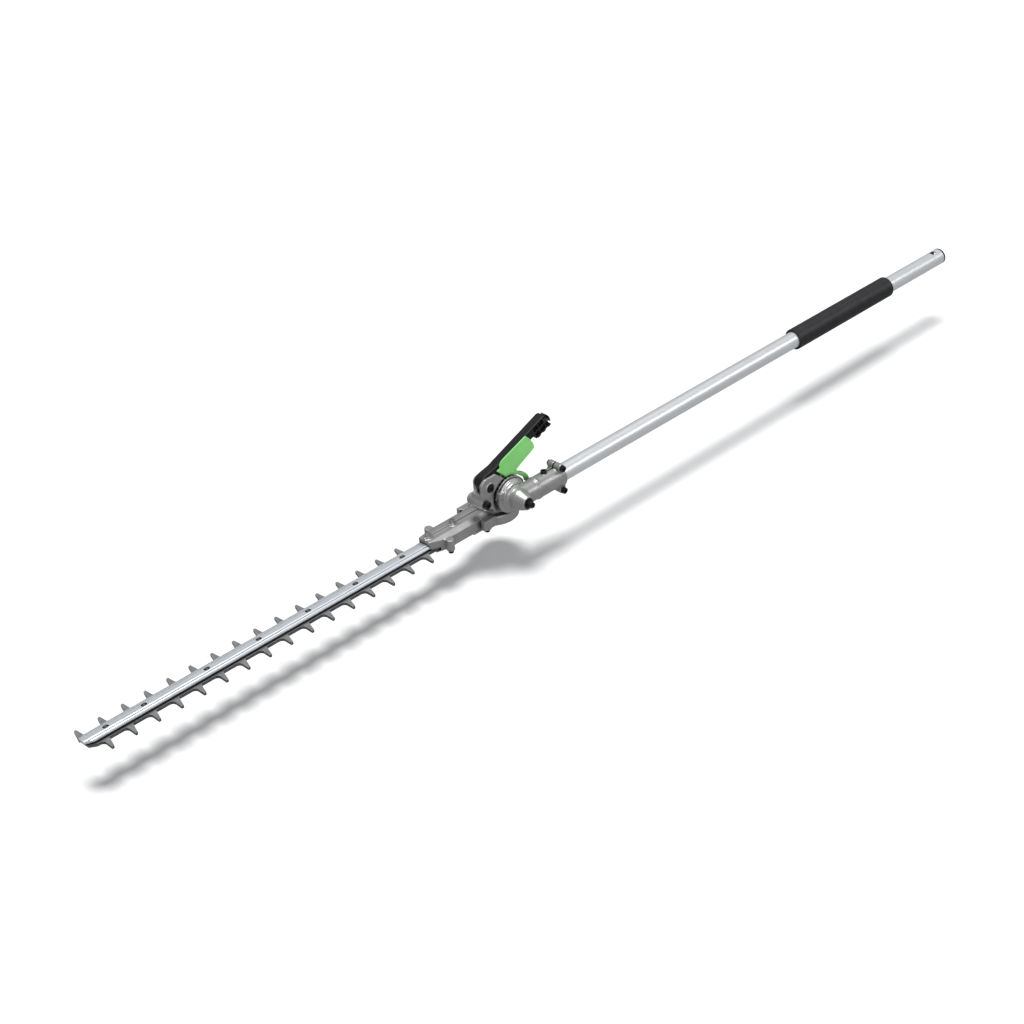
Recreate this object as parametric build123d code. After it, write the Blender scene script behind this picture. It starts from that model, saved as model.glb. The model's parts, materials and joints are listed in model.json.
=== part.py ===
from build123d import *
import math
import os

# Articulated hedge trimmer attachment for a split-shaft power head.
# The X axis is the pole's axis and the origin is the centre of the pole's free end.
# The cutting head points to -X, Z is up and -Y is the side with the pivot's stub boss.
# All lengths are in millimetres.  Pairs named "rel" are x and z from the pivot's axis.

# ---- pole ----
POLE_R = 12.0
POLE_BORE_R = 10.5
END_RING_LENGTH = 3.0
LOCK_HOLE_X = -17.0
LOCK_HOLE_SIDE = 9.0
GRIP_R = 15.6
GRIP_SEAT_X = (-345.0, -130.0)  # shallow relief in the pole that the grip is bonded into
GRIP_SEAT_R = 11.8
GRIP_X = (-345.0, -130.6)
DRIVE_SHAFT_R = 4.0

# ---- pivot between the pole and the head ----
PIVOT_X = -896.0
CASE_END_X = PIVOT_X + 76.0     # rear end of the pole-side gear case
POLE_INSERT = 44.0              # length of pole inside that case
BARREL_R = 15.0
BARREL_RING_R = 15.7
LOCATING_SCREW_X = PIVOT_X + 49.0
CLAMP_X = PIVOT_X + 70.5
CLAMP_BOLT_Z = (16.5, -17.0)
FLANGE_R = 24.0
QUADRANT_Y = (12.5, 18.0)
QUADRANT_R = 26.5
QUADRANT_SECTOR_DEG = (23.5, 172.5)
NOTCH_FIRST_DEG = 30.5
NOTCH_STEP_DEG = 13.5
NOTCH_COUNT = 11
NOTCH_DEPTH = 2.6
TRUNNION_R = 12.0
POINTER_Y = 5.2                 # near face of the pointer rib on the case
BOSS_END_Y = -21.0
QUADRANT_SCREW_R = 20.2
QUADRANT_SCREW_TIP_Y = 8.8
QUADRANT_SCREW_SEAT_Y = 15.6
QUADRANT_SCREW_DEG = (57.0, 147.0, 237.0, 327.0)

# ---- gears ----
BEVEL_TEETH = 12
BEVEL_PITCH_R = 9.0
PINION_TEETH = 12
PINION_PITCH_R = 8.0
CROWN_TEETH = 27
CROWN_PITCH_R = 18.0
CROWN_DROP = 2.5                # how far the crown gear sits below full mesh

# ---- head ----
HEAD_Y = 49.0                   # centre plane of the cutting head
HUB_FACE_Y = 18.5
FIRST_TOOTH_X = PIVOT_X - 642.0
TOOTH_PITCH = 33.0
TOOTH_COUNT = 16
TOOTH_REACH = 29.5
BLADE_HALF_WIDTH = 12.0
BLADE_TOP_Z = -36.0
BLADE_MIDDLE_Z = -38.0
BLADE_BOTTOM_Z = -40.0
BLADE_GAP = 0.05
BLADE_TAIL_X = PIVOT_X - 21.0
STROKE_HALF = 8.0
RAIL_TOP_Z = -33.0
BAR_TOP_Z = -29.0
BAR_HALF_WIDTH = 9.8
BAR_NOSE_X = FIRST_TOOTH_X - 11.0
BAR_END_X = PIVOT_X - 62.0
BAR_BOLT_S = (22.9, 77.3, 169.3, 248.1, 325.6, 402.5, 481.0)    # from the first tooth
SLOT = (1.6, 2.7)                 # half length between centres and end radius of the bar's slots
BLADE_BOLT_R = 2.2
BLADE_BOLT_TIP_R = 1.5
HEAD_SCREW_X = (PIVOT_X - 115.4, PIVOT_X - 73.6)
SNOUT_FRONT_X = PIVOT_X - 123.0
SNOUT_WIDE_X = PIVOT_X - 97.0
SNOUT_HALF_WIDTH = 17.5
SNOUT_TOP_Z = -23.2
CASE_BOTTOM_Z = -40.6
COVER_BOTTOM_Z = -42.2
DISH_BOTTOM_Z = -45.5
CASING_R = 33.0
DRUM_R = 24.5
COVER_BOSSES = [(PIVOT_X - 97.0, 21.0, 5.6), (PIVOT_X - 33.0, 21.0, 6.2)]

# ---- handle and lock ----
PLATE_Y = (15.0, 19.0, 32.0, 36.0)              # faces of the bracket's two plates
ARM_BOLTS = [(-31.9, 24.6), (-42.0, 4.5)]       # rel
TRIGGER_PIN = (-20.0, 31.5)                     # rel
TRIGGER_Y = (16.7, 34.3)
TONGUE_Y = (21.0, 28.0)
UPPER_BOLT_TIP_Y = 38.6
LOWER_BOLT_TIP_Y = 43.0
TRIGGER_CLEAR_R = QUADRANT_R + 0.4              # the trigger stays outside this radius

RUNNING_FIT = 0.05
CLEARANCE = 0.3

os.makedirs("parts", exist_ok=True)


# ---------------------------------------------------------------- helpers
def rod(start, end, radius):
    """Round bar between two points."""
    a, b = Vector(*start), Vector(*end)
    bar = Cylinder(radius, (b - a).length, align=(Align.CENTER, Align.CENTER, Align.MIN))
    return Plane(origin=a, z_dir=(b - a)) * bar


def tube(start, end, outer, inner):
    return rod(start, end, outer) - rod(start, end, inner)


def rod_y(rel, y0, y1, radius):
    """Round bar along Y at a point given from the pivot."""
    return rod((PIVOT_X + rel[0], y0, rel[1]), (PIVOT_X + rel[0], y1, rel[1]), radius)


def box(x0, x1, y0, y1, z0, z1):
    return Pos((x0 + x1) / 2, (y0 + y1) / 2, (z0 + z1) / 2) * Box(x1 - x0, y1 - y0, z1 - z0)


def plate_xy(points, z0, z1):
    face = make_face(Polyline(*[(x, y, z0) for x, y in points], close=True))
    return extrude(face, amount=z1 - z0, dir=(0, 0, 1))


def plate_rel(points, y0, y1):
    """Plate standing in the XZ plane, from points given from the pivot."""
    face = make_face(Polyline(*[(PIVOT_X + x, y0, z) for x, z in points], close=True))
    return extrude(face, amount=y1 - y0, dir=(0, 1, 0))


def plate_yz(points, x0, x1):
    face = make_face(Polyline(*[(x0, y, z) for y, z in points], close=True))
    return extrude(face, amount=x1 - x0, dir=(1, 0, 0))


def turned_y(points):
    """Revolve (radius, y) points about the pivot's axis."""
    face = make_face(Polyline(*[(PIVOT_X + r, y, 0) for r, y in points], close=True))
    return revolve(face, Axis((PIVOT_X, 0, 0), (0, 1, 0)), 360)


def turned_z(points, x=PIVOT_X, y=HEAD_Y):
    """Revolve (radius, z) points about a vertical line, the crank's axis unless told otherwise."""
    face = make_face(Polyline(*[(x + r, y, z) for r, z in points], close=True))
    return revolve(face, Axis((x, y, 0), (0, 0, 1)), 360)


def turned_x(points):
    """Revolve (x, radius) points about the pole's axis."""
    face = make_face(Polyline(*[(x, 0, r) for x, r in points], close=True))
    return revolve(face, Axis.X, 360)


def polar(radius, degrees):
    return radius * math.cos(math.radians(degrees)), radius * math.sin(math.radians(degrees))


def oblong(x, y, half_length, radius, z0, z1):
    shape = box(x - half_length, x + half_length, y - radius, y + radius, z0, z1)
    for end in (x - half_length, x + half_length):
        shape += rod((end, y, z0), (end, y, z1), radius)
    return shape


def save(name, solids):
    """Write one node; a list is a group of separate solids."""
    shape = solids
    if isinstance(solids, list):
        shape = Compound(children=[piece for group in solids for piece in group.solids()])
    export_step(shape, f"parts/{name}.step")


def screw(tip, top, shank_r, head_r, head_length, socket_r):
    """Cylinder-head screw from its tip to the top of its head, with a round socket."""
    tip, top = Vector(*tip), Vector(*top)
    along = (top - tip).normalized()
    seat = top - along * head_length
    body = rod(tip, seat, shank_r) + rod(seat, top, head_r)
    return body - rod(top - along * head_length * 0.55, top + along, socket_r)


def bearing(start, end, outer, inner):
    """Shielded ball bearing as one ring with a groove in each face."""
    ring = tube(start, end, outer, inner)
    a, b = Vector(*start), Vector(*end)
    step = (b - a).normalized() * 0.4
    middle = (outer + inner) / 2
    groove = (outer - inner) * 0.2
    for centre in (a, b):
        ring -= tube(centre - step, centre + step, middle + groove, middle - groove)
    return ring


def bevel_gear(teeth, pitch_r, half_angle, face, bore, hub_back, hub_r, phase=0.0):
    """Straight bevel gear with its cone apex at the origin and its axis on +Z."""
    sin_a, cos_a = math.sin(half_angle), math.cos(half_angle)
    cone_length = pitch_r / sin_a
    shrink = (cone_length - face) / cone_length
    addendum = pitch_r / teeth * 1.2
    dedendum = addendum * 1.3

    def ring_point(height, scale):
        radius = (cone_length * sin_a + height * cos_a) * scale
        level = (cone_length * cos_a - height * sin_a) * scale
        return radius, level

    root_big, root_small = ring_point(-dedendum, 1.0), ring_point(-dedendum, shrink)
    back = root_big[1] + hub_back
    blank = turned_z([(bore, root_small[1]), root_small, root_big, (hub_r, back), (bore, back)], 0, 0)
    half_tooth = math.pi * pitch_r / teeth / 2

    def section(scale):
        (r0, z0), (r1, z1) = ring_point(-dedendum - 0.3, scale), ring_point(addendum, scale)
        w0, w1 = half_tooth * 0.78 * scale, half_tooth * 0.42 * scale
        return Wire.make_polygon([(r0, -w0, z0), (r0, w0, z0), (r1, w1, z1), (r1, -w1, z1)])

    tooth = Solid.make_loft([section(1.0), section(shrink)], ruled=True)
    gear = blank
    for index in range(teeth):
        gear += Rot(0, 0, phase + 360.0 * index / teeth) * tooth
    return gear


# ---------------------------------------------------------------- pole
def make_pole():
    end = -END_RING_LENGTH
    half = LOCK_HOLE_SIDE / 2
    pole = tube((CASE_END_X - POLE_INSERT, 0, 0), (end, 0, 0), POLE_R, POLE_BORE_R)
    pole -= box(LOCK_HOLE_X - half, LOCK_HOLE_X + half, -half, half, 0, POLE_R + 5)
    pole -= rod((LOCATING_SCREW_X, 0, 5), (LOCATING_SCREW_X, 0, 20), 2.4)
    pole -= tube((GRIP_SEAT_X[0], 0, 0), (GRIP_SEAT_X[1], 0, 0), POLE_R + 1, GRIP_SEAT_R)
    save("pole_tube", pole)
    ring = tube((end, 0, 0), (0, 0, 0), POLE_R, 9.4)
    ring += tube((end - 6, 0, 0), (end, 0, 0), POLE_BORE_R, 9.4)
    save("pole_end_ring", ring)
    lip = 1.6
    grip = turned_x([
        (GRIP_X[0], GRIP_SEAT_R), (GRIP_X[0], GRIP_R - lip), (GRIP_X[0] + lip, GRIP_R),
        (GRIP_X[1] - lip, GRIP_R), (GRIP_X[1], GRIP_R - lip), (GRIP_X[1], GRIP_SEAT_R),
    ])
    save("foam_grip", grip)
    bushings = []
    for x in (-700.0, -440.0, -180.0, -46.0):
        bushing = tube((x - 9, 0, 0), (x + 9, 0, 0), POLE_BORE_R, DRIVE_SHAFT_R + RUNNING_FIT)
        for turn in range(4):
            bushing -= Rot(45 + 90 * turn, 0, 0) * rod((x - 10, 7.3, 0), (x + 10, 7.3, 0), 1.7)
        bushings.append(bushing)
    save("shaft_bushings", bushings)


def make_drive():
    shaft = rod((PIVOT_X + 8.0, 0, 0), (-28, 0, 0), DRIVE_SHAFT_R) + box(-28, -6, -2.8, 2.8, -2.8, 2.8)
    save("drive_shaft", shaft)
    gear = bevel_gear(BEVEL_TEETH, BEVEL_PITCH_R, math.radians(45), 4.0, DRIVE_SHAFT_R, 6.0, 6.5)
    save("drive_pinion", Pos(PIVOT_X, 0, 0) * (Rot(0, 90, 0) * gear))
    inner = DRIVE_SHAFT_R + RUNNING_FIT
    places = [(PIVOT_X + 18.0, PIVOT_X + 23.5), (PIVOT_X + 26.0, PIVOT_X + 31.5)]
    save("drive_bearings", [bearing((a, 0, 0), (b, 0, 0), 10.2, inner) for a, b in places])


# ---------------------------------------------------------------- pole-side gear case
def screw_places():
    return [polar(QUADRANT_SCREW_R, angle) for angle in QUADRANT_SCREW_DEG]


def clamp_ears(z):
    """Round clamp lug along Y on a web that stands on the barrel."""
    lug = rod((CLAMP_X, -12, z), (CLAMP_X, 10, z), 5.2)
    web = box(CLAMP_X - 5.2, CLAMP_X + 5.2, -12, 10, min(0, z), max(0, z))
    return lug + web


def make_pole_case():
    """Barrel around the pole, bowl around the bevel gears and conical boss, in one casting."""
    bowl = turned_y([
        (0, QUADRANT_Y[0]), (FLANGE_R, QUADRANT_Y[0]), (FLANGE_R, 9.6), (22.4, 9.0), (22.4, 7.6), (20.6, 6.8),
        (20.0, 4.2), (17.2, 3.6), (16.4, 2.0), (15.2, 1.0), (14.8, -6.0), (13.2, -11.0), (9.5, BOSS_END_Y),
        (0, BOSS_END_Y),
    ])
    ring_x = PIVOT_X + 31.0
    barrel = turned_x([
        (PIVOT_X + 3, 0), (PIVOT_X + 3, BARREL_R - 0.6), (ring_x - 2.4, BARREL_R - 0.6), (ring_x - 1.5, BARREL_RING_R),
        (ring_x + 1.5, BARREL_RING_R), (ring_x + 2.2, BARREL_R), (CASE_END_X - 10.5, BARREL_R),
        (CASE_END_X - 9.5, BARREL_R + 0.9), (CASE_END_X, BARREL_R + 0.9), (CASE_END_X, 0),
    ])
    case = bowl + barrel
    for z in CLAMP_BOLT_Z:
        case += clamp_ears(z)
    case += plate_rel([(-10, 13.5), (-25.0, 15.5), (-26.0, 7.2), (-12, 5)], POINTER_Y, QUADRANT_Y[0])
    case += rod((LOCATING_SCREW_X, 0, 8), (LOCATING_SCREW_X, 0, BARREL_R + 0.2), 4.4)
    # gear chamber, bearing seats and pole socket
    socket_x = CASE_END_X - POLE_INSERT
    hollow = rod_y((0, 0), -4.0, 13.0, 12.4) + rod_y((0, 0), 10.0, 13.0, 16.6)
    hollow += rod_y((0, 0), -10.6, -3.0, 11.2)
    hollow += rod_y((0, 0), -14.8, -10.0, 8.5) + rod_y((0, 0), -22.0, -14.0, 7.3)
    hollow += rod((PIVOT_X + 4, 0, 0), (socket_x + 1, 0, 0), 10.2)
    hollow += rod((socket_x, 0, 0), (CASE_END_X + 1, 0, 0), POLE_R)
    case -= hollow
    case -= rod_y((0, 0), QUADRANT_Y[0], 30, QUADRANT_R + CLEARANCE)
    case -= box(LOCATING_SCREW_X + 6, CASE_END_X + 1, -1, 1, 0, 30)
    case -= box(LOCATING_SCREW_X + 6, CASE_END_X + 1, -1, 1, -30, 0)
    for z in CLAMP_BOLT_Z:
        case -= rod((CLAMP_X, -20, z), (CLAMP_X, 20, z), 2.5)
    case -= rod((LOCATING_SCREW_X, 0, 8), (LOCATING_SCREW_X, 0, 20), 2.4)
    for rel in screw_places():
        case -= rod_y(rel, QUADRANT_SCREW_TIP_Y, QUADRANT_Y[1], 1.6)
    save("pole_gear_case", case)


def make_quadrant():
    """Notched lock plate that closes the gear case and carries the head's trunnion."""
    y0, y1 = QUADRANT_Y
    reach = QUADRANT_R * 2
    first, last = QUADRANT_SECTOR_DEG
    keep = [(0, 0)] + [polar(reach, first + (last - first) * step / 4) for step in range(5)]
    plate = rod_y((0, 0), y0, y1, QUADRANT_R) & plate_rel(keep, y0, y1)
    plate += rod_y((0, 0), y0, y1, FLANGE_R - 0.4)
    for index in range(NOTCH_COUNT):
        notch = box(QUADRANT_R - NOTCH_DEPTH, QUADRANT_R + 3, y0 + 1.2, y1 + 1, -1.4, 1.4)
        angle = NOTCH_FIRST_DEG + NOTCH_STEP_DEG * index
        plate -= Pos(PIVOT_X, 0, 0) * (Rot(0, -angle, 0) * notch)
    plate += rod_y((0, 0), 10.4, y0, 16.0)
    plate -= rod_y((0, 0), 9, y1 + 1, TRUNNION_R + RUNNING_FIT)
    plate -= rod_y((0, 0), 13.4, 14.6, 13.4)
    for rel in screw_places():
        plate -= rod_y(rel, y0 - 1, y1, 1.6) + rod_y(rel, QUADRANT_SCREW_SEAT_Y, y1 + 1, 3.1)
    save("notch_quadrant", plate)
    ring = rod_y((0, 0), 13.45, 14.55, 13.4) - rod_y((0, 0), 13, 15, 11.3)
    ring -= plate_rel([(0, 0), (-4, -20), (4, -20)], 13, 15)
    save("retaining_ring", ring)
    screws = []
    for x, z in screw_places():
        tip, top = (PIVOT_X + x, QUADRANT_SCREW_TIP_Y, z), (PIVOT_X + x, y1 - 0.1, z)
        screws.append(screw(tip, top, 1.6, 3.0, top[1] - QUADRANT_SCREW_SEAT_Y, 1.4))
    save("quadrant_screws", screws)


def make_case_hardware():
    bolts = []
    for z in CLAMP_BOLT_Z:
        bolt = screw((CLAMP_X, 13.0, z), (CLAMP_X, -16.0, z), 2.5, 4.3, 4.0, 2.1)
        nut = extrude(Plane(origin=(CLAMP_X, 10.0, z), z_dir=(0, 1, 0)) * RegularPolygon(4.2, 6), 2.6)
        bolts.append(bolt + nut)
    save("clamp_bolts", bolts)
    x = LOCATING_SCREW_X
    save("locating_screw", screw((x, 0, 9.2), (x, 0, BARREL_R + 3.6), 2.4, 4.3, 3.4, 2.1))
    plug = rod_y((0, 0), -20.4, -18.2, 7.3) + rod_y((0, 0), -29.0, -20.4, 4.0)
    plug -= box(PIVOT_X - 0.7, PIVOT_X + 0.7, -30, -27.6, -5, 5)
    for turn in range(6):
        plug -= rod_y(polar(5.6, 60.0 * turn), -21, -19.4, 0.8)
    save("pivot_plug", plug)


# ---------------------------------------------------------------- cross shaft
def make_cross_shaft():
    """Shaft on the pivot's axis with a bevel gear in each case."""
    save("cross_shaft", rod_y((0, 0), -17.4, 36.5, DRIVE_SHAFT_R))
    half_step = 180.0 / BEVEL_TEETH
    gear = bevel_gear(BEVEL_TEETH, BEVEL_PITCH_R, math.radians(45), 4.0, DRIVE_SHAFT_R, 0.5, 7.0, half_step)
    save("cross_bevel_gear", Pos(PIVOT_X, 0, 0) * (Rot(90, 0, 0) * gear))
    half_angle = math.atan2(PINION_PITCH_R, CROWN_PITCH_R)
    pinion = bevel_gear(PINION_TEETH, PINION_PITCH_R, half_angle, 4.5, DRIVE_SHAFT_R, 3.0, 6.2)
    save("cross_pinion", Pos(PIVOT_X, HEAD_Y, 0) * (Rot(90, 0, 0) * pinion))
    inner = DRIVE_SHAFT_R + RUNNING_FIT
    save("cross_bearing_near", bearing((PIVOT_X, -14.8, 0), (PIVOT_X, -10.8, 0), 8.5, inner))
    save("cross_bearing_far", bearing((PIVOT_X, 11.4, 0), (PIVOT_X, 16.4, 0), 8.8, inner))
    save("pivot_seal", rod_y((0, 0), 16.4, 18.2, 8.8) - rod_y((0, 0), 16, 19, DRIVE_SHAFT_R + CLEARANCE))


# ---------------------------------------------------------------- head gear case
def head_outline(inset=0.0):
    """Half widths of the snout in plan, mirrored about the head's centre plane."""
    x0, half = SNOUT_FRONT_X + inset, SNOUT_HALF_WIDTH - inset
    near = [(x0, 10.4 - inset), (SNOUT_WIDE_X, half), (PIVOT_X, half)]
    return [(x, HEAD_Y - w) for x, w in near] + [(x, HEAD_Y + w) for x, w in reversed(near)]


def each_cover_boss():
    for x, reach, radius in COVER_BOSSES:
        for side in (-1, 1):
            yield x, HEAD_Y + side * reach, side, radius


def make_snout():
    y, half = HEAD_Y, SNOUT_HALF_WIDTH
    profile = [(half, CASE_BOTTOM_Z), (half, -26.7), (9.0, SNOUT_TOP_Z), (1.1, SNOUT_TOP_Z), (0.8, -20.7)]
    section = [(y + w, z) for w, z in profile] + [(y - w, z) for w, z in reversed(profile)]
    snout = plate_yz(section, SNOUT_FRONT_X, PIVOT_X)
    snout &= plate_xy(head_outline(), -50, 0)
    front = SNOUT_FRONT_X - PIVOT_X
    snout -= plate_rel([(front - 2, -45), (front - 2, -33), (front, -33), (front + 14, -45)], y - 30, y + 30)
    for x in HEAD_SCREW_X:
        snout += rod((x, y, -30), (x, y, -20.7), 5.0)
    return snout


def make_bracket():
    """Two plates and a block that carry the handle; the near plate clears the quadrant."""
    y0, y1, y2, y3 = PLATE_Y
    near_plate = [
        (-31, -8), (-44, -2.5), (-47.5, 5), (-46.5, 26), (-47, 33), (-44, 36.4), (-39.5, 39.6), (-20.7, 40.4),
        (-5.5, 26.8), (-5, 20), (-5, -8),
    ]
    far_plate = [(-31, -8), (-36.8, 0), (-36.8, 30), (-33, 36), (-14, 37), (-5.1, 26), (-5, -8)]
    block = [(-31, -8), (-44, -2.5), (-47.5, 5), (-46.5, 17), (-41, 19.2), (-5, 19.2), (-5, -20), (-20, -20)]
    bracket = plate_rel(near_plate, y0, y1) + plate_rel(far_plate, y2, y3)
    bracket += plate_rel(block, y0, y3)
    bracket += rod_y(ARM_BOLTS[1], y0, LOWER_BOLT_TIP_Y, 8.0)
    bracket += rod_y(ARM_BOLTS[0], y0 - 1.2, y0, 7.4)
    bracket -= rod_y((0, 0), 10, HUB_FACE_Y, QUADRANT_R + 1.5)
    return bracket


def make_head_case():
    """Die-cast case: snout over the blades, gear drum, hub with trunnion, and bracket."""
    y = HEAD_Y
    casing = turned_z([
        (0, CASE_BOTTOM_Z), (CASING_R, CASE_BOTTOM_Z), (CASING_R, -29.6), (CASING_R - 1.6, -28.2),
        (27.0, -27.2), (DRUM_R, -24.0), (DRUM_R, 9.0), (DRUM_R - 3.0, 12.0), (0, 12.0),
    ])
    hub = turned_y([
        (0, HUB_FACE_Y), (26.0, HUB_FACE_Y), (26.0, 22.5), (20.0, 33.0), (0, 33.0),
    ])
    case = make_snout() + casing + hub + make_bracket()
    case += rod_y((0, 0), 10.6, HUB_FACE_Y, TRUNNION_R) - tube(
        (PIVOT_X, 13.3, 0), (PIVOT_X, 14.7, 0), TRUNNION_R + 1, 11.0)
    for x, by, side, radius in each_cover_boss():
        case += rod((x, by, CASE_BOTTOM_Z), (x, by, -26.0), radius)
        case += box(x - radius, x + radius, min(by, y), max(by, y), CASE_BOTTOM_Z, -26.9)
    rear_x, reach, radius = COVER_BOSSES[1]
    for side in (-1, 1):
        case += box(rear_x - 9, rear_x + 12, y + side * (reach + 3.0) - 3.2, y + side * (reach + 3.0) + 3.2,
                    CASE_BOTTOM_Z, -26.0)
    case -= head_hollows()
    save("head_gear_case", case)


def head_hollows():
    """Everything that is bored or cast out of the head's case."""
    y = HEAD_Y
    hollow = turned_z([
        (0, -15.2), (20.3, -15.2), (20.3, 8.2), (18.6, 9.6), (11.0, 9.6), (11.0, 3.4), (8.0, 3.4), (8.0, 7.8),
        (0, 7.8),
    ])
    hollow += turned_z([(0, -50), (29.5, -50), (29.5, -31.0), (6.0, -31.0), (6.0, -22.2), (10.0, -22.2),
                        (10.0, -14), (0, -14)])
    hollow += rod_y((0, 0), 24.0, 44.0, 9.8)
    hollow += rod_y((0, 0), 10, 11.4, 7.4)
    hollow += rod_y((0, 0), 11.4, 18.2, 8.8)
    hollow += rod_y((0, 0), 18, 25, 6.0)
    hollow += box(SNOUT_FRONT_X - 1, PIVOT_X - 20, y - 14, y + 14, -50, BLADE_TOP_Z + 0.4)
    hollow += box(PIVOT_X - 61.8, PIVOT_X - 20, y - 12.5, y + 12.5, -40, -31.0)
    hollow += box(SNOUT_FRONT_X - 1, BAR_END_X + 0.2, y - BAR_HALF_WIDTH - 0.2, y + BAR_HALF_WIDTH + 0.2,
                  -40, BAR_TOP_Z)
    for x in HEAD_SCREW_X:
        hollow += rod((x, y, -32), (x, y, -10), 2.0)
    for x, by, *_ in each_cover_boss():
        hollow += rod((x, by, -50), (x, by, -29), 1.9)
    for rel in ARM_BOLTS:
        hollow += rod_y(rel, 10, 45, 3.0)
    hollow += rod_y(ARM_BOLTS[0], 13, 16.4, 5.6)
    hollow += rod_y(TRIGGER_PIN, PLATE_Y[0] + 2.0, 40, 2.5)
    return hollow


def make_bottom_cover():
    plate = plate_xy(head_outline(), COVER_BOTTOM_Z, CASE_BOTTOM_Z)
    plate &= box(SNOUT_FRONT_X + 9, PIVOT_X + 50, HEAD_Y - 40, HEAD_Y + 40, COVER_BOTTOM_Z, CASE_BOTTOM_Z)
    cover = plate + turned_z([(0, COVER_BOTTOM_Z), (CASING_R, COVER_BOTTOM_Z), (CASING_R, CASE_BOTTOM_Z),
                              (0, CASE_BOTTOM_Z)])
    for x, by, side, radius in each_cover_boss():
        cover += rod((x, by, COVER_BOTTOM_Z), (x, by, CASE_BOTTOM_Z), radius)
    cover += rod((PIVOT_X, HEAD_Y, DISH_BOTTOM_Z), (PIVOT_X, HEAD_Y, CASE_BOTTOM_Z), 27.0)
    cover += box(PIVOT_X - 52, PIVOT_X, HEAD_Y - 16.5, HEAD_Y + 16.5, DISH_BOTTOM_Z, CASE_BOTTOM_Z)
    floor = DISH_BOTTOM_Z + 1.4
    cover -= rod((PIVOT_X, HEAD_Y, floor), (PIVOT_X, HEAD_Y, -40), 25.0)
    cover -= box(PIVOT_X - 50, PIVOT_X, HEAD_Y - 14.6, HEAD_Y + 14.6, floor, -40)
    screws = []
    for x, by, *_ in each_cover_boss():
        cover -= rod((x, by, -50), (x, by, -40), 1.9)
        screws.append(screw((x, by, -30), (x, by, COVER_BOTTOM_Z - 4.0), 1.9, 3.6, 4.0, 1.7))
    save("bottom_cover", cover)
    save("bottom_cover_screws", screws)


# ---------------------------------------------------------------- crank and yokes
DISC_Z = (-39.4, -36.6)
UPPER_YOKE_Z = (-34.5, -32.5)
LOWER_YOKE_Z = (-43.5, -41.5)
CRANK_PIN_R = 3.0
CRANK_SHAFT_R = 5.0


def make_crank():
    x, y = PIVOT_X, HEAD_Y
    crank = rod((x, y, DISC_Z[1]), (x, y, 7.4), CRANK_SHAFT_R) + rod((x, y, DISC_Z[0]), (x, y, DISC_Z[1]), 12.0)
    crank += rod((x, y + STROKE_HALF, DISC_Z[1]), (x, y + STROKE_HALF, UPPER_YOKE_Z[0] - CLEARANCE), CRANK_PIN_R)
    crank += rod((x, y - STROKE_HALF, LOWER_YOKE_Z[1] + CLEARANCE), (x, y - STROKE_HALF, DISC_Z[0]), CRANK_PIN_R)
    save("crank_shaft", crank)
    half_angle = math.atan2(CROWN_PITCH_R, PINION_PITCH_R)
    crown = bevel_gear(CROWN_TEETH, CROWN_PITCH_R, half_angle, 4.5, CRANK_SHAFT_R, 2.0, 9.0)
    save("crown_gear", Pos(x, y, -CROWN_DROP) * (Rot(180, 0, 0) * crown))
    inner = CRANK_SHAFT_R + RUNNING_FIT
    save("crank_bearing_lower", bearing((x, y, -22.2), (x, y, -16.2), 10.0, inner))
    save("crank_bearing_upper", bearing((x, y, 3.6), (x, y, 7.6), 8.0, inner))


def make_yoke(z_range, riser_z, window):
    """Slotted cross-slide: a stem riveted to the blade's tail and a head with a slot for the crank's pin."""
    x, y = PIVOT_X, HEAD_Y
    z0, z1 = z_range
    head_front, head_back = (-16.0, 15.6) if window else (-7.0, 7.0)
    yoke = box(x - 40, x + head_front + 2, y - 8, y + 8, z0, z1)
    yoke += box(x + head_front, x + head_back, y - 14, y + 14, z0, z1)
    yoke += box(x - 40, x - 24, y - 8, y + 8, *riser_z)
    reach = STROKE_HALF + CLEARANCE
    yoke -= box(x - CRANK_PIN_R - 0.1, x + CRANK_PIN_R + 0.1, y - reach - CRANK_PIN_R, y + reach + CRANK_PIN_R,
                z0 - 1, z1 + 1)
    if window:
        shaft = CRANK_SHAFT_R + CLEARANCE
        yoke -= box(x - reach - shaft + 0.3, x + reach + shaft - 0.3, y - shaft, y + shaft, z0 - 1, z1 + 1)
    for offset in (-36.0, -28.0):
        yoke -= rod((x + offset, y, -50), (x + offset, y, -30), 1.8)
    return yoke


def make_yokes():
    x, y = PIVOT_X, HEAD_Y
    save("upper_yoke", make_yoke(UPPER_YOKE_Z, (BLADE_TOP_Z, UPPER_YOKE_Z[0]), True))
    save("lower_yoke", make_yoke(LOWER_YOKE_Z, (LOWER_YOKE_Z[1], BLADE_BOTTOM_Z), False))
    spans = {
        "upper_yoke_rivets": (BLADE_MIDDLE_Z + BLADE_GAP / 2, UPPER_YOKE_Z[1], UPPER_YOKE_Z[1] + 0.9),
        "lower_yoke_rivets": (BLADE_MIDDLE_Z - BLADE_GAP / 2, LOWER_YOKE_Z[0], LOWER_YOKE_Z[0] - 0.4),
    }
    for name, (inside, face, head) in spans.items():
        rivets = []
        for offset in (-36.0, -28.0):
            shank = rod((x + offset, y, min(inside, face)), (x + offset, y, max(inside, face)), 1.8)
            rivets.append(shank + rod((x + offset, y, min(face, head)), (x + offset, y, max(face, head)), 3.2))
        save(name, rivets)


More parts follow.
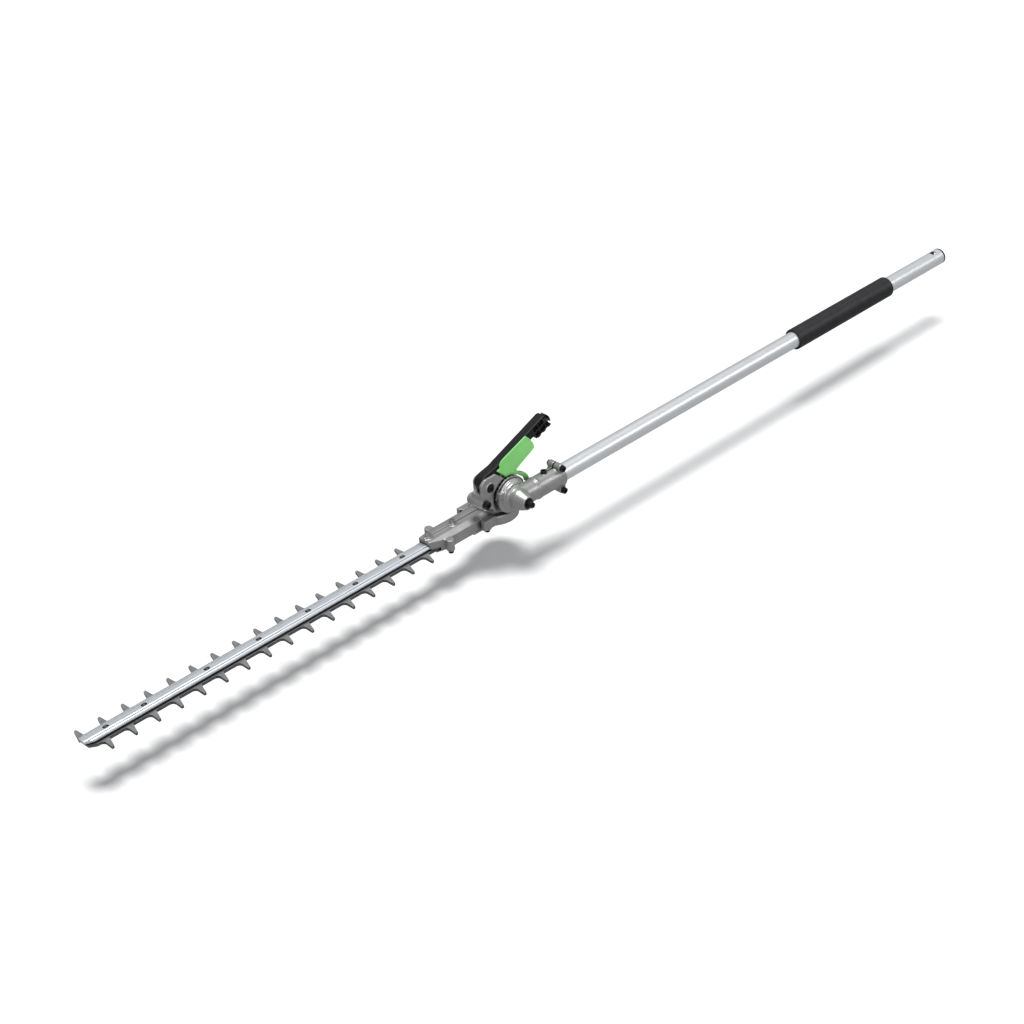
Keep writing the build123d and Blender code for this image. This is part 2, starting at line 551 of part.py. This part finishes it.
# ---------------------------------------------------------------- blades
def tooth_face(index, side, z):
    """Outline of one cutting tooth; side is -1 on the near edge and +1 on the far edge."""
    start = FIRST_TOOTH_X + TOOTH_PITCH * index
    steep, tip_steep, tip_slant, slant, root = (10.4, 10.3, 13.5, 18.9, 4.0)
    if side > 0:
        steep, tip_steep, tip_slant, slant, root = (1.0, 0.0, -3.2, -8.6, 7.4)
    edge, inside, corner = BLADE_HALF_WIDTH, BLADE_HALF_WIDTH - 2.0, 17.0

    def place(s, w):
        return (start + s, HEAD_Y + side * w, z)

    sides = Polyline(
        place(steep, corner), place(tip_steep, TOOTH_REACH), place(tip_slant, TOOTH_REACH),
        place(slant, edge), place(slant, inside), place(root, inside), place(root, edge),
    )
    toward_root = (root - steep) / abs(root - steep)
    bend = ThreePointArc(place(root, edge), place(steep + toward_root * 1.7, edge + 1.6), place(steep, corner))
    return make_face(sides.edges() + bend.edges())


def make_blade(z0, z1):
    y, half = HEAD_Y, BLADE_HALF_WIDTH
    nose = FIRST_TOOTH_X - 7.0
    blade = plate_xy([
        (nose, y - 6), (nose + 9, y - half), (BLADE_TAIL_X, y - half), (BLADE_TAIL_X, y + half),
        (nose + 3, y + half), (nose, y + 8),
    ], z0, z1)
    for index in range(TOOTH_COUNT):
        for side in (-1, 1):
            blade += extrude(tooth_face(index, side, z0), amount=z1 - z0, dir=(0, 0, 1))
    for s in BAR_BOLT_S:
        blade -= oblong(FIRST_TOOTH_X + s, y, STROKE_HALF + CLEARANCE, 3.0 + CLEARANCE, z0 - 1, z1 + 1)
    for offset in (-36.0, -28.0):
        blade -= rod((PIVOT_X + offset, y, z0 - 1), (PIVOT_X + offset, y, z1 + 1), 1.8)
    return blade


def make_blades():
    save("upper_blade", make_blade(BLADE_MIDDLE_Z + BLADE_GAP / 2, BLADE_TOP_Z))
    save("lower_blade", make_blade(BLADE_BOTTOM_Z, BLADE_MIDDLE_Z - BLADE_GAP / 2))


# ---------------------------------------------------------------- guide bar
def bar_section():
    """Half section of the bar: a sunk centre, two ridges and lengthwise grooves."""
    half, top = BAR_HALF_WIDTH, BAR_TOP_Z
    side = [(half, RAIL_TOP_Z), (half, RAIL_TOP_Z + 1.4), (half - 1.2, top - 1.4), (7.4, top - 0.9), (6.9, top - 1.5),
            (6.3, top - 1.5), (5.8, top - 0.5), (4.4, top), (3.4, top), (3.2, top - 0.6)]
    return [(HEAD_Y + w, z) for w, z in side] + [(HEAD_Y - w, z) for w, z in reversed(side)]


def nose_taper(z0, z1, inset):
    """Plan outline of the bar's tapered nose."""
    y, half = HEAD_Y, BAR_HALF_WIDTH + 1 - inset
    x0, x1 = BAR_NOSE_X + inset, BAR_NOSE_X + 15
    return plate_xy([(x0, y - 5.5 + inset), (x1, y - half), (PIVOT_X, y - half), (PIVOT_X, y + half),
                     (x1, y + half), (x0, y + 5.5 - inset)], z0, z1)


def make_guide_bar():
    y = HEAD_Y
    bar = plate_yz(bar_section(), BAR_NOSE_X, BAR_END_X) & nose_taper(-50, 0, 0.0)
    rail = box(BAR_NOSE_X, BAR_END_X, y - 9.4, y + 9.4, BLADE_TOP_Z + 0.05, RAIL_TOP_Z) & nose_taper(-50, 0, 1.4)
    liners, bolts, nuts = [], [], []
    for s in BAR_BOLT_S:
        x = FIRST_TOOTH_X + s
        bar -= oblong(x, y, *SLOT, -50, 0)
        rail -= rod((x, y, -50), (x, y, 0), 3.0)
        liner = oblong(x, y, *SLOT, RAIL_TOP_Z, BAR_TOP_Z - 1.2)
        liners.append(liner - rod((x, y, -50), (x, y, 0), BLADE_BOLT_TIP_R))
        bolt = rod((x, y, -43.4), (x, y, RAIL_TOP_Z), BLADE_BOLT_R)
        bolt += rod((x, y, RAIL_TOP_Z), (x, y, BAR_TOP_Z - 0.7), BLADE_BOLT_TIP_R)
        bolt += rod((x, y, BLADE_BOTTOM_Z - 0.05), (x, y, RAIL_TOP_Z), 3.0)
        bolts.append(bolt - rod((x, y, BAR_TOP_Z - 2.0), (x, y, BAR_TOP_Z), 0.7))
        nut = extrude(Plane(origin=(x, y, -43.2), z_dir=(0, 0, 1)) * RegularPolygon(4.3, 6), 2.2)
        nut += rod((x, y, -41.0), (x, y, BLADE_BOTTOM_Z - 0.05), 6.2)
        nuts.append(nut - rod((x, y, -50), (x, y, -30), BLADE_BOLT_R))
    screws = []
    for x in HEAD_SCREW_X:
        bar -= rod((x, y, -50), (x, y, 0), 2.0)
        rail -= rod((x, y, -50), (x, y, 0), 2.0)
        screws.append(screw((x, y, BLADE_TOP_Z + 0.6), (x, y, -17.2), 2.0, 4.0, 3.5, 2.1))
    save("guide_bar", bar)
    save("wear_rail", rail)
    save("bar_slot_liners", liners)
    save("blade_bolts", bolts)
    save("blade_nuts", nuts)
    save("bar_mount_screws", screws)


# ---------------------------------------------------------------- handle
ARM_BEND = (19.1, 61.2)                         # rel, where the lever's straight end begins
ARM_END_SLOPE_DEG = 21.8
ARM_UNDERSIDE = 13.5                            # depth of the lever above the trigger's channel
ARM_GRIP_DEPTH = 20.6                           # depth of its bare end
ARM_GRIP_START = 35.0
LATTICE_START = 35.6
LATTICE_PITCH = 10.2
LATTICE_WALL = 1.5
LATTICE_ROWS = ((2.0, 9.8), (11.6, 18.8))       # top and bottom depth of each row of pockets
POCKET_DEPTH = 5.0


def lever(along, depth):
    """Point given by its distance along the lever's straight end and its depth below the top face."""
    slope = math.radians(ARM_END_SLOPE_DEG)
    x = ARM_BEND[0] + along * math.cos(slope) + depth * math.sin(slope)
    z = ARM_BEND[1] + along * math.sin(slope) - depth * math.cos(slope)
    return x, z


def make_handle():
    near, far = PLATE_Y[1], PLATE_Y[2]
    outline = [
        (-40.0, 19.5), (-44.5, 31.0), (-43.6, 36.0), (-41.0, 39.6), (-36.8, 41.8), (-32.6, 43.2), (-17.4, 46.4),
        (-10.6, 49.5), (8.4, 56.9), lever(0, 0), lever(57, 0.2), lever(62, 1.8), lever(65.2, 5.2),
        lever(66.4, 10.0), lever(66.0, 15.2), lever(64.4, 18.6), lever(61.5, ARM_GRIP_DEPTH),
        lever(ARM_GRIP_START, ARM_GRIP_DEPTH), lever(ARM_GRIP_START - 2, ARM_UNDERSIDE), lever(2, ARM_UNDERSIDE),
        (-3, 38), (-12, 30.0), (-20, 22.5), (-30, 19.5),
    ]
    arm = plate_rel(outline, near, far)
    for column in range(3):
        start = LATTICE_START + LATTICE_PITCH * column
        end = start + LATTICE_PITCH - LATTICE_WALL
        bottom = ARM_GRIP_DEPTH - 0.4
        arm += plate_rel([lever(start + 0.8, bottom), lever(start + 2.6, bottom + 1.9), lever(end - 1.8, bottom + 1.9),
                          lever(end, bottom)], near, far)
        for top, base in LATTICE_ROWS:
            cell = [lever(start, top), lever(start, base), lever(end, base), lever(end, top)]
            arm -= plate_rel(cell, near - 1, near + POCKET_DEPTH)
            arm -= plate_rel(cell, far - POCKET_DEPTH, far + 1)
    y0, y1 = TONGUE_Y[0] - CLEARANCE, TONGUE_Y[1] + CLEARANCE
    arm -= rod_y(TRIGGER_PIN, y0, y1, 6.6)
    arm -= plate_rel([(-24, 26), (-24, 16), (12, 16), (12, 42), (-5, 41.5), (-17, 38.5)], y0, y1)
    arm -= rod_y(TRIGGER_PIN, TONGUE_Y[1], far, 5.0)
    arm -= rod_y(TRIGGER_PIN, 10, 50, 2.5)
    arm -= rod_y(ARM_BOLTS[0], 10, 50, 3.0)
    save("handle_arm", arm)
    (x0, z0), (x1, z1) = ARM_BOLTS
    upper = screw((PIVOT_X + x0, UPPER_BOLT_TIP_Y, z0), (PIVOT_X + x0, 12.6, z0), 3.0, 5.0, 3.8, 2.4)
    lower = screw((PIVOT_X + x1, LOWER_BOLT_TIP_Y, z1), (PIVOT_X + x1, 9.8, z1), 3.0, 5.2, 5.2, 2.6)
    save("handle_bolts", [upper, lower])
    nut_face = Plane(origin=(PIVOT_X + x0, PLATE_Y[3], z0), z_dir=(0, 1, 0))
    nut = extrude(nut_face * RegularPolygon(5.0, 6), 2.4)
    save("handle_nut", nut - rod_y(ARM_BOLTS[0], 30, 45, 3.0))


def make_trigger():
    """Lock trigger: a channel under the lever, a tongue on the hinge pin, lock teeth and a hook."""
    near, far = TRIGGER_Y
    skin = [
        (38.3, 69.5), (45.1, 62.3), (50.7, 52.9), (51.7, 46.9), (49.3, 44.4), (26.9, 33.9), (17.2, 28.5), (20.5, 20.5),
        (14, 22), (-3.0, 24.0), (-3.5, 29.0), (-16.3, 41.8), (-10.7, 43.6), (-10.8, 48.2), (-7.6, 52.1), (-3.1, 54.5),
        (12.5, 60.3), (30.4, 66.8),
    ]
    body = plate_rel(skin, near, far)
    # channel for the lever, with room for it to sink in as the trigger is squeezed
    body -= plate_rel([(60, 60), (55, 90), (-30, 60), (-30, 40), (-16, 27), (-3.0, 34.5), lever(4, 22), lever(34, 22)],
                      PLATE_Y[1] - CLEARANCE, PLATE_Y[2] + CLEARANCE)
    beside_plates = [(-60, 0), (-60, 42.5), (-20, 42.5), (-3.6, 27.8), (-3.6, 0)]
    body -= plate_rel(beside_plates, near - 1, PLATE_Y[1]) + plate_rel(beside_plates, PLATE_Y[2], far + 1)
    body -= plate_rel([lever(-60, -20), lever(80, -20), lever(80, 4.5), lever(-60, 4.5)], PLATE_Y[2], far + 1)
    tongue = plate_rel([(-23, 27), (-14, 27), (-4, 28.8), (6, 29.5), (6, 35.5), (-16, 36.5)], *TONGUE_Y)
    tongue += rod_y(TRIGGER_PIN, *TONGUE_Y, 5.6)
    hook = plate_rel([
        (16.0, 29.5), (20.5, 24.5), (24.4, 21.2), (28.2, 19.6), (32.7, 16.6), (35.8, 12.8), (37.6, 8.4), (38.7, 0.6),
        (34.6, 1.4), (33.4, 6.0), (31.6, 10.2), (29.0, 13.2), (25.4, 14.8), (19, 20.5),
    ], near, near + 7.5)
    body += tongue + hook
    for index in (2, 3, 4):
        angle = NOTCH_FIRST_DEG + NOTCH_STEP_DEG * index
        tooth = box(TRIGGER_CLEAR_R - 1, 33.0, 16.0, near + 4, -1.1, 1.1)
        body += Pos(PIVOT_X, 0, 0) * (Rot(0, -angle, 0) * tooth)
    body -= rod_y((0, 0), 10, 50, TRIGGER_CLEAR_R)
    body -= rod_y(TRIGGER_PIN, 10, 50, 2.5 + RUNNING_FIT)
    save("lock_trigger", body)
    save("trigger_pin", rod_y(TRIGGER_PIN, PLATE_Y[0] + 2.0, PLATE_Y[3] - 0.2, 2.5))
    coil = None
    for turn in range(3):
        start = TONGUE_Y[1] + 0.6 + 1.1 * turn
        loop = rod_y(TRIGGER_PIN, start, start + 1.0, 4.6)
        loop += rod_y(TRIGGER_PIN, start + 0.9, start + 1.2, 4.2)
        coil = loop if coil is None else coil + loop
    coil -= rod_y(TRIGGER_PIN, 10, 50, 3.2)
    save("trigger_spring", coil)


make_pole()
make_drive()
make_pole_case()
make_quadrant()
make_case_hardware()
make_cross_shaft()
make_head_case()
make_bottom_cover()
make_crank()
make_yokes()
make_blades()
make_guide_bar()
make_handle()
make_trigger()
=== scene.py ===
import json
import math

import bmesh
import bpy
from mathutils import Matrix, Vector

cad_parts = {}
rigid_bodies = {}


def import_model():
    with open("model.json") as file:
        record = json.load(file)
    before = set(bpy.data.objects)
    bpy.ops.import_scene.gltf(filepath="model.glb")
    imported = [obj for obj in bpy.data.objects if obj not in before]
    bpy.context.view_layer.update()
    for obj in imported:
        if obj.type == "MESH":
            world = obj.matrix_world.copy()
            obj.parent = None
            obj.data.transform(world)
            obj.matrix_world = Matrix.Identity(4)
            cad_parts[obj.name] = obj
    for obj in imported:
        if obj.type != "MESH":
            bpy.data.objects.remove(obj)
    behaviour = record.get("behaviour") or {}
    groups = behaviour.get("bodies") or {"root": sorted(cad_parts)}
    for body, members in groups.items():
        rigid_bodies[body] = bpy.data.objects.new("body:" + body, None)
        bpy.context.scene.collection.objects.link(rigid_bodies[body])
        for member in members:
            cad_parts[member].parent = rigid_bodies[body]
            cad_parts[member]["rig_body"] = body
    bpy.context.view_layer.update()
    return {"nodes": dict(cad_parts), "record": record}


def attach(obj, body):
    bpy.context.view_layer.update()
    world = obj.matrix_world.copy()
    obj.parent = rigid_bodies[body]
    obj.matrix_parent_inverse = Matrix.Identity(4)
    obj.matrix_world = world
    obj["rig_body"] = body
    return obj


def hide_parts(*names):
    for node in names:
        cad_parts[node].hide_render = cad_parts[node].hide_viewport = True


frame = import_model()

# Pole hedge trimmer attachment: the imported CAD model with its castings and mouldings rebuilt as
# finished meshes, procedural materials, a pale floor and soft studio light.

MM = 0.001
SAME_POINT = 1e-6                   # metres under which two vertices of a CAD mesh are one
MOST_FACES = 190000                 # triangles that a finished piece may have
NODES = frame["nodes"]


# ---------------------------------------------------------------- materials

def new_material(name):
    """An empty node material and its principled shader."""
    mat = bpy.data.materials.new(name)
    mat.use_nodes = True
    nodes = mat.node_tree.nodes
    nodes.clear()
    out = nodes.new("ShaderNodeOutputMaterial")
    shader = nodes.new("ShaderNodeBsdfPrincipled")
    mat.node_tree.links.new(shader.outputs["BSDF"], out.inputs["Surface"])
    return mat, shader


class Graph:
    """Short calls for building one material's node tree."""

    def __init__(self, mat):
        self.nodes = mat.node_tree.nodes
        self.links = mat.node_tree.links
        self.coords = self.nodes.new("ShaderNodeTexCoord")

    def link(self, a, b):
        self.links.new(a, b)

    def place(self, stretch):
        mapping = self.nodes.new("ShaderNodeMapping")
        mapping.inputs["Scale"].default_value = stretch
        self.link(self.coords.outputs["Object"], mapping.inputs["Vector"])
        return mapping.outputs["Vector"]

    def noise(self, scale, stretch=(1, 1, 1), detail=4.0, rough=0.6):
        tex = self.nodes.new("ShaderNodeTexNoise")
        tex.inputs["Scale"].default_value = scale
        tex.inputs["Detail"].default_value = detail
        tex.inputs["Roughness"].default_value = rough
        self.link(self.place(stretch), tex.inputs["Vector"])
        return tex.outputs["Fac"]

    def cells(self, scale, stretch=(1, 1, 1)):
        tex = self.nodes.new("ShaderNodeTexVoronoi")
        tex.inputs["Scale"].default_value = scale
        self.link(self.place(stretch), tex.inputs["Vector"])
        return tex.outputs["Distance"]

    def ramp(self, value, stops):
        ramp = self.nodes.new("ShaderNodeValToRGB")
        elements = ramp.color_ramp.elements
        while len(elements) < len(stops):
            elements.new(0.5)
        for element, (position, colour) in zip(elements, stops):
            element.position = position
            element.color = (*colour, 1.0)
        self.link(value, ramp.inputs["Fac"])
        return ramp.outputs["Color"]

    def spread(self, value, low, high, start=0.3, end=0.7):
        node = self.nodes.new("ShaderNodeMapRange")
        node.inputs["From Min"].default_value = start
        node.inputs["From Max"].default_value = end
        node.inputs["To Min"].default_value = low
        node.inputs["To Max"].default_value = high
        self.link(value, node.inputs["Value"])
        return node.outputs["Result"]

    def blend(self, factor, a, b):
        node = self.nodes.new("ShaderNodeMix")
        node.data_type = "RGBA"
        sockets = {s.identifier: s for s in node.inputs}
        for key, value in (("Factor_Float", factor), ("A_Color", a), ("B_Color", b)):
            if isinstance(value, bpy.types.NodeSocket):
                self.link(value, sockets[key])
            elif isinstance(value, tuple):
                sockets[key].default_value = (*value, 1.0)
            else:
                sockets[key].default_value = value
        return next(s for s in node.outputs if s.identifier == "Result_Color")

    def bump(self, height, distance, strength, normal=None):
        node = self.nodes.new("ShaderNodeBump")
        node.inputs["Distance"].default_value = distance
        node.inputs["Strength"].default_value = strength
        self.link(height, node.inputs["Height"])
        if normal is not None:
            self.link(normal, node.inputs["Normal"])
        return node.outputs["Normal"]

    def edges(self, radius_mm=0.6):
        """Zero on flats and one at edges: how far a rounded normal turns from the true one; it sets
        where highlights are painted.
        """
        geometry = self.nodes.new("ShaderNodeNewGeometry")
        rounded = self.nodes.new("ShaderNodeBevel")
        rounded.samples = 4
        rounded.inputs["Radius"].default_value = radius_mm * MM
        turn = self.nodes.new("ShaderNodeVectorMath")
        turn.operation = "DOT_PRODUCT"
        self.link(rounded.outputs["Normal"], turn.inputs[0])
        self.link(geometry.outputs["Normal"], turn.inputs[1])
        return self.spread(turn.outputs["Value"], 1.0, 0.0, 0.90, 0.995)

    def corner_shade_mask(self, reach_mm):
        """One in corners and creases and zero on open faces, from what stands close by; it sets where
        shade is painted.
        """
        node = self.nodes.new("ShaderNodeAmbientOcclusion")
        node.samples = 8
        node.inputs["Distance"].default_value = reach_mm * MM
        return self.spread(node.outputs["AO"], 1.0, 0.0, 0.30, 0.90)


def shade(grey, warm=0.0):
    """A grey, a little warmer for positive warm and cooler for negative."""
    return (grey * (1 + warm), grey, grey * (1 - warm))


def metal(name, dark, light, metallic, roughness, grain, stretch=(1, 1, 1),
          bump=0.00004, edge_highlight=None, warm=0.0, coarse=60.0, crevice_shade=None):
    """A metal whose tone and gloss vary at two scales, with optional painted highlights along edges
    and painted shade in corners and creases.
    """
    mat, shader = new_material(name)
    g = Graph(mat)
    tone = g.ramp(g.noise(coarse, stretch), [(0.3, shade(dark, warm)), (0.7, shade(light, warm))])
    fine = g.noise(grain, stretch, detail=6.0, rough=0.7)
    colour = g.blend(0.35, tone, g.ramp(fine, [(0.35, shade(dark, warm)), (0.65, shade(light, warm))]))
    # painted highlight: lightens the colour along edges
    if edge_highlight is not None:
        colour = g.blend(g.edges(), colour, edge_highlight)
    # painted shade: darkens the colour in corners and creases
    if crevice_shade is not None:
        colour = g.blend(g.corner_shade_mask(9.0), colour, crevice_shade)
    g.link(colour, shader.inputs["Base Color"])
    g.link(g.spread(fine, roughness * 0.82, roughness * 1.22), shader.inputs["Roughness"])
    g.link(g.bump(fine, bump, 0.6), shader.inputs["Normal"])
    shader.inputs["Metallic"].default_value = metallic
    return mat


def plastic(name, dark, light, roughness, grain=900.0, bump=0.00006, edge_highlight=None, coarse=45.0,
            crevice_shade=None, gloss=0.5):
    """A moulded plastic with a spark-eroded grain and slight flow variation."""
    mat, shader = new_material(name)
    g = Graph(mat)
    tone = g.ramp(g.noise(coarse), [(0.3, dark), (0.7, light)])
    # painted highlight: lightens the colour along edges
    if edge_highlight is not None:
        tone = g.blend(g.edges(), tone, edge_highlight)
    # painted shade: darkens the colour in corners and creases
    if crevice_shade is not None:
        tone = g.blend(g.corner_shade_mask(5.0), tone, crevice_shade)
    fine = g.noise(grain, detail=3.0)
    g.link(tone, shader.inputs["Base Color"])
    g.link(g.spread(fine, roughness * 0.88, roughness * 1.15), shader.inputs["Roughness"])
    g.link(g.bump(fine, bump, 0.5), shader.inputs["Normal"])
    shader.inputs["Specular IOR Level"].default_value = gloss
    return mat


def foam_material():
    """Closed-cell grip foam, ground across its length so that it shows fine rings."""
    mat, shader = new_material("grip_foam")
    g = Graph(mat)
    rings = g.noise(900.0, (1.0, 0.04, 0.04), detail=2.0)
    pores = g.cells(1400.0)
    tone = g.ramp(rings, [(0.3, (0.003, 0.003, 0.004)), (0.7, (0.016, 0.016, 0.018))])
    g.link(tone, shader.inputs["Base Color"])
    g.link(g.spread(pores, 0.34, 0.50, 0.1, 0.6), shader.inputs["Roughness"])
    normal = g.bump(pores, 0.0001, 0.4)
    g.link(g.bump(rings, 0.0002, 0.4, normal), shader.inputs["Normal"])
    return mat


def blade_material():
    """Hardened blade steel: faces that point up lighter with lengthwise scratches, other faces darker,
    with painted highlights along edges and painted shade in corners.
    """
    mat, shader = new_material("blade_steel")
    g = Graph(mat)
    split = g.nodes.new("ShaderNodeSeparateXYZ")
    g.link(g.coords.outputs["Normal"], split.inputs["Vector"])
    # Faces that point up take the lighter scratched grey; the other faces take a darker grey.
    faces_up = g.spread(split.outputs["Z"], 0.0, 1.0, 0.80, 0.97)
    other_faces_tone = g.ramp(g.noise(220.0), [(0.3, shade(0.04)), (0.7, shade(0.09))])
    scratches = g.noise(900.0, (1.0, 0.12, 1.0), detail=6.0, rough=0.7)
    ground = g.ramp(scratches, [(0.3, shade(0.30, -0.02)), (0.7, shade(0.46, -0.02))])
    # painted highlight: lightens the steel along edges
    steel = g.blend(g.edges(0.5), g.blend(faces_up, other_faces_tone, ground), (0.85, 0.86, 0.88))
    # painted shade: darkens the steel in corners and creases
    g.link(g.blend(g.corner_shade_mask(4.0), steel, (0.02, 0.02, 0.02)), shader.inputs["Base Color"])
    g.link(g.spread(scratches, 0.26, 0.40), shader.inputs["Roughness"])
    g.link(g.bump(scratches, 0.00003, 0.6), shader.inputs["Normal"])
    shader.inputs["Metallic"].default_value = 0.75
    return mat


def floor_material():
    """Matt pale floor with a very faint mottle."""
    mat, shader = new_material("studio_floor")
    g = Graph(mat)
    tone = g.ramp(g.noise(3.0), [(0.3, (0.86, 0.86, 0.86)), (0.7, (0.88, 0.88, 0.88))])
    g.link(tone, shader.inputs["Base Color"])
    shader.inputs["Roughness"].default_value = 0.9
    shader.inputs["Specular IOR Level"].default_value = 0.1
    return mat


ALONG = (0.03, 1.0, 1.0)            # draws a texture out along the bar

# In the entries below, the colours given for edges are painted highlights and those given for corners
# are painted shade.
MATERIALS = {
    "tube_metal": metal("anodised_tube", 0.70, 0.78, 0.62, 0.36, 1500.0, (0.04, 1, 1), 0.000002,
                        warm=-0.02),
    "cast_metal": metal("die_cast_metal", 0.37, 0.49, 0.75, 0.36, 1100.0, (1, 1, 1), 0.00006,
                        edge_highlight=(0.95, 0.95, 0.94), warm=0.008, coarse=40.0, crevice_shade=(0.035, 0.035, 0.035)),
    "bar_metal": metal("anodised_bar", 0.62, 0.80, 0.62, 0.32, 1400.0, ALONG, 0.000006,
                       edge_highlight=(0.95, 0.97, 1.0), warm=-0.05, crevice_shade=(0.08, 0.08, 0.09)),
    "blade_steel": blade_material(),
    "gear_steel": metal("gear_steel", 0.28, 0.38, 1.0, 0.30, 900.0),
    "bearing_steel": metal("bearing_steel", 0.45, 0.58, 1.0, 0.22, 1200.0),
    "bright_screw": metal("zinc_screw", 0.48, 0.64, 1.0, 0.26, 1500.0, warm=0.01),
    "black_steel": metal("black_oxide_steel", 0.008, 0.028, 0.5, 0.34, 1500.0),
    "black_plastic": plastic("charcoal_plastic", (0.006, 0.006, 0.007), (0.012, 0.012, 0.013),
                             0.38, edge_highlight=(0.07, 0.07, 0.074), gloss=0.3),
    "green_plastic": plastic("green_plastic", (0.19, 0.57, 0.15), (0.24, 0.64, 0.19), 0.32,
                             bump=0.00002, edge_highlight=(0.50, 0.86, 0.42), crevice_shade=(0.07, 0.30, 0.06)),
    "foam": foam_material(),
    "seal_rubber": plastic("seal_rubber", (0.010, 0.010, 0.010), (0.022, 0.022, 0.022), 0.6),
    "bushing_plastic": plastic("bushing_plastic", (0.003, 0.003, 0.003), (0.008, 0.008, 0.008), 0.5,
                               gloss=0.2),
}

SLOT_OF = {}
for part in frame["record"]["subparts"]:
    for node in part.get("nodes", [part.get("node")]):
        SLOT_OF[node] = part.get("material_slot")
for name, obj in NODES.items():
    obj.data.materials.clear()
    obj.data.materials.append(MATERIALS[SLOT_OF[name]])


# ---------------------------------------------------------------- finished meshes

def finish_mesh(obj):
    """Replaces an object's modifiers by their result and shades it smooth."""
    depsgraph = bpy.context.evaluated_depsgraph_get()
    mesh = bpy.data.meshes.new_from_object(obj.evaluated_get(depsgraph))
    obj.modifiers.clear()
    obj.data = mesh
    mesh.shade_smooth()


def new_piece(name, mesh, node):
    """Adds a mesh that stands for one CAD node, on its body and in its material."""
    obj = bpy.data.objects.new(name, mesh)
    bpy.context.scene.collection.objects.link(obj)
    mesh.materials.clear()
    mesh.materials.append(MATERIALS[SLOT_OF[node]])
    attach(obj, NODES[node]["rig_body"])
    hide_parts(node)
    return obj


def cast(node, voxel_mm, smoothing):
    """Copy of a CAD node with its edges rounded over, as casting and moulding leave them."""
    bm = bmesh.new()
    bm.from_mesh(NODES[node].data)
    bmesh.ops.remove_doubles(bm, verts=bm.verts, dist=SAME_POINT)
    mesh = bpy.data.meshes.new(node + "_finished")
    bm.to_mesh(mesh)
    bm.free()
    obj = new_piece(node + "_finished", mesh, node)
    remesh = obj.modifiers.new("remesh", "REMESH")
    remesh.mode = "VOXEL"
    remesh.voxel_size = voxel_mm * MM
    smooth = obj.modifiers.new("smooth", "SMOOTH")
    smooth.factor = 0.5
    smooth.iterations = smoothing
    finish_mesh(obj)
    triangles = sum(len(p.vertices) - 2 for p in obj.data.polygons)
    if triangles > MOST_FACES:
        thin = obj.modifiers.new("thin", "DECIMATE")
        thin.ratio = MOST_FACES / triangles
        finish_mesh(obj)


# node, voxel size in millimetres, rounds of smoothing
FINISHED = [
    ("head_gear_case", 0.65, 4),
    ("pole_gear_case", 0.55, 4),
    ("notch_quadrant", 0.35, 3),
    ("bottom_cover", 0.6, 3),
    ("handle_arm", 0.5, 4),
    ("lock_trigger", 0.45, 5),
]
for node, voxel_mm, smoothing in FINISHED:
    cast(node, voxel_mm, smoothing)


# ---------------------------------------------------------------- studio

FLOOR_Z = -0.100
FLOOR_HALF = 9.0
corners = [(x * FLOOR_HALF, y * FLOOR_HALF, FLOOR_Z) for x, y in ((-1, -1), (1, -1), (1, 1), (-1, 1))]
floor_mesh = bpy.data.meshes.new("floor")
floor_mesh.from_pydata(corners, [], [(0, 1, 2, 3)])
floor_mesh.materials.append(floor_material())
floor = bpy.data.objects.new("floor", floor_mesh)
bpy.context.scene.collection.objects.link(floor)
floor.visible_glossy = False        # keeps the undersides of the bright metal dark

WORLD_COLOUR = (0.95, 0.97, 1.0, 1)
WORLD_STRENGTH = 0.27
SUN_STRENGTH = 3.0
SUN_SPREAD_DEG = 24
SUN_TILT_DEG = (-4, 3)              # about X and about Y, from straight down

world = bpy.data.worlds.new("studio")
bpy.context.scene.world = world
world.use_nodes = True
background = world.node_tree.nodes["Background"]
background.inputs["Color"].default_value = WORLD_COLOUR
background.inputs["Strength"].default_value = WORLD_STRENGTH


def area_light(name, place, target, width, depth, power):
    """Soft box at a place, turned to a target."""
    data = bpy.data.lights.new(name, "AREA")
    data.shape = "RECTANGLE"
    data.size = width
    data.size_y = depth
    data.energy = power
    obj = bpy.data.objects.new(name, data)
    obj.location = place
    obj.rotation_mode = "QUATERNION"
    obj.rotation_quaternion = (Vector(target) - Vector(place)).to_track_quat("-Z", "Y")
    bpy.context.scene.collection.objects.link(obj)


sun = bpy.data.lights.new("overhead", "SUN")
sun.energy = SUN_STRENGTH
sun.angle = math.radians(SUN_SPREAD_DEG)
sun_object = bpy.data.objects.new("overhead", sun)
sun_object.rotation_euler = (*(math.radians(tilt) for tilt in SUN_TILT_DEG), 0)
bpy.context.scene.collection.objects.link(sun_object)
area_light("front_box", (-1.9, -2.2, 1.3), (-0.9, 0, 0), 1.6, 1.0, 18)
area_light("pole_box", (0.93, -1.6, 1.34), (-0.45, 0, 0), 1.5, 0.8, 11)

# The camera stands where the view's geometry puts it; these are its axes in the model's frame.
CAMERA_PLACE = (-2.42243, -1.76064, 1.45306)
CAMERA_RIGHT = (0.722212, -0.687159, -0.078886)
CAMERA_DOWN = (-0.417801, -0.342509, -0.841504)
CAMERA_FORWARD = (0.551228, 0.640703, -0.534460)
CAMERA_LENS = 74.34
CAMERA_SENSOR = 36

camera_data = bpy.data.cameras.new("camera")
camera_data.lens = CAMERA_LENS
camera_data.sensor_width = CAMERA_SENSOR
camera = bpy.data.objects.new("camera", camera_data)
axes = Matrix((CAMERA_RIGHT, CAMERA_DOWN, CAMERA_FORWARD)).transposed()
axes = axes @ Matrix.Diagonal((1, -1, -1))
camera.matrix_world = Matrix.Translation(CAMERA_PLACE) @ axes.to_4x4()
bpy.context.scene.collection.objects.link(camera)
bpy.context.scene.camera = camera
bpy.context.scene.view_settings.view_transform = "Standard"
